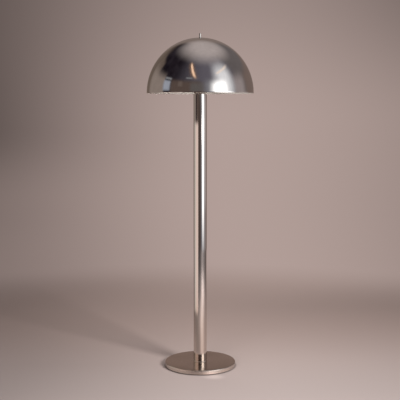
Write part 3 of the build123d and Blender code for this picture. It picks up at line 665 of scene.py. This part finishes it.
# paper near the lamp takes its shadow; further out it shines at the tone of a lit wall, to the eye and
# in mirrors
def studioPaper():
    made = Finish("studioPaper")
    x, y, z = made.axes()
    across = (x * x + y * y) ** 0.5
    rays = made.node("ShaderNodeLightPath").socket.node.outputs
    mirrored = Wave(made, rays["Is Glossy Ray"])

    # painted light and shade: the tone falls off with depth and height, to both sides and over the floor
    high, back, low = z.rise(*paper["high"]), y.rise(*paper["back"]), z.rise(*paper["low"])
    tone = high * paper["levelHigh"] + paper["level"]
    for start, end, gain in paper["levels"]:
        tone = tone + y.rise(start, end) * gain
    aside = (x - paper["middle"]) / (y.size() * paper["widening"] + paper["halfWidth"])
    left, right = paper["left"], paper["right"]
    sideShade = (aside * -1).rise(0.0, left["reach"]) \
        * (left["dark"] + back * left["back"] + low * left["low"] + high * left["high"]) \
        + aside.rise(0.0, right["reach"]) * (right["dark"] + high * right["high"])
    slope = paper["floorLeft"] + x.rise(*paper["floorAcross"]) * paper["floorRight"]
    tone = tone * (1 - sideShade) * (paper["floor"] + (1 - y.rise(*paper["floorUntil"])) * slope)

    # painted contact shadow round the base, and the painted glint that its side throws on the floor
    contact = (1 - across.rise(*paper["contactEdge"])) * paper["contact"]
    (glintX, glintY), (glintWidth, glintDepth) = paper["glint"], paper["glintSize"]
    glint = 1 - ((((x - glintX) / glintWidth) ** 2 + ((y - glintY) / glintDepth) ** 2) ** 0.5).rise(0.0, 1)
    tone = tone * (1 - contact) * (1 + glint * (paper["glintSeen"] + mirrored * paper["glintMirrored"]))

    angle = x.maths("ARCTAN2", y * -1) * degrees(1)
    gain = 1
    for part in mirroredFloor:
        gain = gain + mirrored * sector(part, angle, across)
    tone = tone * gain * (1 + mirrored * sector(mirroredShade, angle, across))

    tint = made.blend(y.rise(*paper["farFrom"]), paper["near"], paper["far"])
    colour = made.node("ShaderNodeVectorMath", {"operation": "SCALE"}, {0: tint, "Scale": tone})
    matt = made.node("ShaderNodeBsdfDiffuse", sockets={"Color": colour})
    lit = made.node("ShaderNodeEmission", sockets={"Color": colour, "Strength": paper["strength"]})
    seen = Wave(made, rays["Is Camera Ray"]) + mirrored + Wave(made, rays["Is Transmission Ray"])
    shining = across.rise(*paper["shines"]) * seen.atMost(1)
    return made.shown(made.node("ShaderNodeMixShader", sockets={0: shining, 1: matt, 2: lit}))


def makeStage():
    size = stageSizes
    middle, flat, radius = size["middle"], size["flat"], size["radius"]
    turn = radius - flat
    outline = [(middle, 0)] + [(ring, 0) for ring in size["rings"]] + [(flat, 0)]
    outline += arcPoints((flat, turn), turn, -90, 0, 14)[1:] + [(radius, size["rise"])]
    piece = turnedPiece("studioFloor", outline, size["sides"], closed=False)
    clearSelection()
    piece.select_set(True)
    bpy.context.view_layer.objects.active = piece
    bpy.ops.object.mode_set(mode="EDIT")
    bpy.ops.mesh.select_all(action="DESELECT")
    bpy.ops.object.mode_set(mode="OBJECT")
    for vertex in piece.data.vertices:
        vertex.select = vertex.co.xy.length < middle + 0.1
    bpy.ops.object.mode_set(mode="EDIT")
    bpy.ops.mesh.edge_face_add()
    bpy.ops.mesh.select_all(action="SELECT")
    bpy.ops.mesh.normals_make_consistent(inside=True)
    bpy.ops.object.mode_set(mode="OBJECT")
    piece.data.materials.append(studioPaper())


makeStage()

# boards beside the lamp, which only polished metal sees; angles in degrees, 0 towards the camera and
# + to its right
boards = [
    {"name": "sideBoardFront", "angle": -58, "far": 0.95, "width": 0.87, "foot": 0.0, "top": 1.064,
     "light": (0.81, 0.63, 0.56), "side": 0.06, "end": 0.06},
    {"name": "sideBoardBack", "angle": -96, "far": 0.98, "width": 0.57, "foot": 0.0, "top": 1.064,
     "light": (0.62, 0.55, 0.49), "side": 0.1, "end": 0.06},
]


def glowing(card):
    made = Finish(card["name"])
    x, y = made.axes()[:2]
    fade = (0.5 - x.size()).rise(0.0, card["side"] * 0.5) * (0.5 - y.size()).rise(0.0, card["end"] * 0.5)
    glow = made.node("ShaderNodeEmission", sockets={"Color": (*card["light"], 1), "Strength": 1.0})
    clear = made.node("ShaderNodeBsdfTransparent")
    return made.shown(made.node("ShaderNodeMixShader", sockets={0: fade, 1: clear, 2: glow}))


def onlyMirrored(piece):
    piece.visible_camera = piece.visible_diffuse = piece.visible_transmission = False
    piece.visible_volume_scatter = piece.visible_shadow = False


def makeCard(card):
    turn = radians(card["angle"])
    place = Vector((sin(turn), -cos(turn), 0)) * card["far"]
    place.z = (card["foot"] + card["top"]) / 2
    clearSelection()
    bpy.ops.mesh.primitive_plane_add(size=1, location=place)
    piece = bpy.context.object
    piece.name = card["name"]
    piece.rotation_euler = (pi / 2, 0, turn)
    piece.scale = (card["width"], card["top"] - card["foot"], 1)
    piece.data.materials.append(glowing(card))
    onlyMirrored(piece)


for board in boards:
    makeCard(board)

# the studio that polished metal mirrors, painted from the first patch to the last on a shell round the
# lamp; in degrees, angle 0 towards the camera and + to its right, lift over the dome's middle, each rising
# from the first value to the second and falling from the third to the fourth; "lean" shifts the lift with
# the angle
studio = [
    {"angle": (-75, 20, 170, 178), "light": (0.122, 0.110, 0.132)},
    {"angle": (70, 100, 170, 178), "light": (0.138, 0.119, 0.118)},
    {"angle": (-72, -62, -10, 14), "lift": (-99, -98, 17, 26), "light": (0.102, 0.072, 0.061)},
    {"angle": (-26, -16, 2, 14), "lift": (-99, 0, 12, 24), "light": (0.118, 0.103, 0.098)},
    {"angle": (-34, -20, 10, 22), "lift": (-99, -98, -3, 0), "light": (0.078, 0.055, 0.048)},
    {"angle": (-50, -48, -40, -38), "lift": (9, 12, 18, 22), "light": (0.14, 0.105, 0.09)},
    {"angle": (-34, -31, -22, -14), "lift": (26, 27.2, 28, 29.5), "light": (0.26, 0.26, 0.27)},
    {"angle": (68, 88, 100, 122), "lift": (-99, -98, 14, 34), "light": (0.32, 0.27, 0.265)},
    {"angle": (104, 126, 190, 200), "lift": (-99, -98, 16, 30), "light": (0.185, 0.135, 0.118)},
    {"angle": (86, 98, 112, 128), "lift": (-19, -16, -3, 0), "light": (0.42, 0.36, 0.35)},
    {"angle": (-149, -138, -118, -112), "lift": (-99, -98, 34, 41), "light": (0.145, 0.108, 0.088)},
    {"angle": (-149, -138, -88, -83), "lift": (-99, -98, 17, 33), "light": (0.268, 0.214, 0.187)},
    {"angle": (-220, -210, -150, -128), "lift": (-99, -98, 26, 50), "light": (0.15, 0.112, 0.09)},
    {"angle": (-90, -83, -71, -66), "lift": (0, 5, 17, 21), "light": (0.34, 0.36, 0.42)},
    {"angle": (-88, -82, -69, -65), "lift": (20.5, 22, 23.5, 25.5), "light": (0.23, 0.23, 0.24)},
    {"angle": (0, 26, 64, 84), "lift": (-30, -10, 14, 32), "light": (0.24, 0.235, 0.25)},
    {"angle": (21, 51, 60, 87), "lift": (-30, -10, 31, 66), "light": (0.86, 0.85, 0.87)},
    {"angle": (16, 40, 50, 65), "lift": (-3, 0, 8, 28), "light": (2.2, 2.16, 2.14)},
    {"angle": (27, 43, 60, 80), "lift": (-26, -12, -3, 0), "light": (2.2, 2.16, 2.14)},
    {"angle": (25, 38, 57, 74), "lift": (-9, -7.5, -5.5, -4), "light": (4.6, 4.4, 4.2)},
    {"angle": (36, 46, 66, 86), "lift": (38, 40.5, 41.5, 44), "lean": (60, 0.24),
     "light": (1.0, 0.84, 0.73)},
]
room = {
    "outline": [(3.2, 0.0), (3.2, 0.6), (3.2, 1.4), (3.2, 2.2), (3.1, 3.0), (2.6, 3.5), (1.6, 3.7),
                (0.6, 3.75), (0, 3.75)],
    "middle": 1.3, "aroundScale": 1.03, "acrossScale": 0.945,
    "dark": (0.010, 0.007, 0.010), "lessDark": (0.022, 0.017, 0.022), "uneven": 0.28,
    "behind": (158, 174), "behindLift": (-4, 5),
    "behindLow": (0.336, 0.25, 0.22), "behindHigh": (0.225, 0.175, 0.155),
    "ceiling": (0.464, 0.40, 0.385), "ceilingHeight": 2, "ceilingAt": (0.25, 0.43),
    "ceilingSize": (1.64, 1.98), "ceilingEdge": (0.22, 1.09), "ceilingLift": (20, 30),
}
# a bright strip that leans with its lift, and a brown glow beside it
strip = {"angle": -11.5, "pivot": 28.5, "lean": 0.56, "lift": (24.5, 36.5, 52, 62),
         "width": (-4.2, -1, 1, 4.2), "light": (1.2, 0.78, 0.53),
         "glowWidth": (-14, 0, 0, 11), "glow": (0.30, 0.17, 0.09), "glowMost": 0.55}


def paintedRoom():
    made = Finish("dimRoom")
    x, y, z = made.axes()
    across, raised = (x * x + y * y) ** 0.5, z - room["middle"]
    angle = x.maths("ARCTAN2", y * -1) * degrees(room["aroundScale"])
    lift = raised.maths("ARCTAN2", across * room["acrossScale"]) * degrees(1)
    cloud = made.noise(1.3, 4)
    fine = made.noise(5, 3, (1, 1, 0.4))
    tone = made.blend(cloud.rise(0.3, 0.7), room["dark"], room["lessDark"])
    for patch in studio:
        amount = between(angle, patch["angle"])
        if "lift" in patch:
            pivot, slope = patch.get("lean", (0, 0))
            amount = amount * between(lift - (angle - pivot) * slope if slope else lift, patch["lift"])
        tone = made.blend(amount, tone, patch["light"])
    behind = made.blend(lift.rise(*room["behindLift"]), room["behindLow"], room["behindHigh"])
    tone = made.blend(angle.size().rise(*room["behind"]), tone, behind)

    # the ceiling's lit oval, on a plane above the dome
    outwards = room["ceilingHeight"] / raised.atLeast(0.05)
    (middleX, middleY), (width, depth) = room["ceilingAt"], room["ceilingSize"]
    oval = (((x * outwards - middleX) / width) ** 2 + ((y * outwards - middleY) / depth) ** 2) ** 0.5
    ceiling = (1 - oval.rise(*room["ceilingEdge"])) * lift.rise(*room["ceilingLift"])
    tone = made.blend(ceiling, tone, room["ceiling"])

    beside = angle - strip["angle"] + (lift - strip["pivot"]) * strip["lean"]
    along = between(lift, strip["lift"])
    tone = made.blend(between(beside, strip["glowWidth"]) * along * strip["glowMost"], tone, strip["glow"])
    tone = made.blend(between(beside, strip["width"]) * along, tone, strip["light"])
    scale = 1 - room["uneven"] / 2 + fine * room["uneven"]
    uneven = made.node("ShaderNodeVectorMath", {"operation": "SCALE"}, {0: tone, "Scale": scale})
    return made.shown(made.node("ShaderNodeEmission", sockets={"Color": uneven, "Strength": 1.0}))


def makeRoom():
    piece = turnedPiece("dimRoom", room["outline"], stageSizes["sides"], closed=False)
    piece.data.materials.append(paintedRoom())
    onlyMirrored(piece)


makeRoom()
print("stage made")

# light and camera
lamps = [
    {"name": "overheadLamp", "at": (0.1, 0.0, 3.6), "aim": (0, 0.2, 0), "size": (3.2, 3.2), "power": 44,
     "colour": (1, 0.985, 0.97)},
    {"name": "keyLamp", "at": (2.35, -2.75, 2.15), "aim": (0, 0, 0.5), "size": (1.2, 1.2), "power": 235,
     "colour": (1, 0.985, 0.965)},
    {"name": "bounceLamp", "at": (-0.9, -2.4, 0.8), "aim": (0, 0, 1.3), "size": (1.1, 1.1), "power": 40,
     "colour": (1, 0.96, 0.93)},
    {"name": "backLamp", "at": (-1.0, 3.4, 3.4), "aim": (0, 0, 0.8), "size": (2.4, 2.4), "power": 30,
     "colour": (1, 0.98, 0.96)},
]
for lamp in lamps:
    data = bpy.data.lights.new(lamp["name"], "AREA")
    data.shape = "RECTANGLE"
    data.size, data.size_y = lamp["size"]
    data.energy = lamp["power"]
    data.color = lamp["colour"]
    piece = bpy.data.objects.new(lamp["name"], data)
    scene.collection.objects.link(piece)
    piece.location = lamp["at"]
    piece.rotation_euler = (Vector(lamp["aim"]) - piece.location).to_track_quat("-Z", "Y").to_euler()
    piece.visible_glossy = piece.visible_camera = False

airLook = {"colour": (0.52, 0.49, 0.475), "strength": 0.38}
world = bpy.data.worlds.new("studioAir")
scene.world = world
world.use_nodes = True
air = world.node_tree.nodes["Background"]
air.inputs["Color"].default_value = (*airLook["colour"], 1)
air.inputs["Strength"].default_value = airLook["strength"]

# fitted to the photograph: focal length and sensor in millimetres, "down" in radians below the horizon
cameraSizes = {"lens": 78.8, "sensor": 36, "at": (-0.0008, -3.76872, 1.12701), "down": 0.10448}
data = bpy.data.cameras.new("camera")
data.lens, data.sensor_width = cameraSizes["lens"], cameraSizes["sensor"]
camera = bpy.data.objects.new("camera", data)
scene.collection.objects.link(camera)
camera.location = cameraSizes["at"]
camera.rotation_euler = (pi / 2 - cameraSizes["down"], 0, 0)
scene.camera = camera
scene.view_settings.view_transform = "Standard"
print("light and camera made")
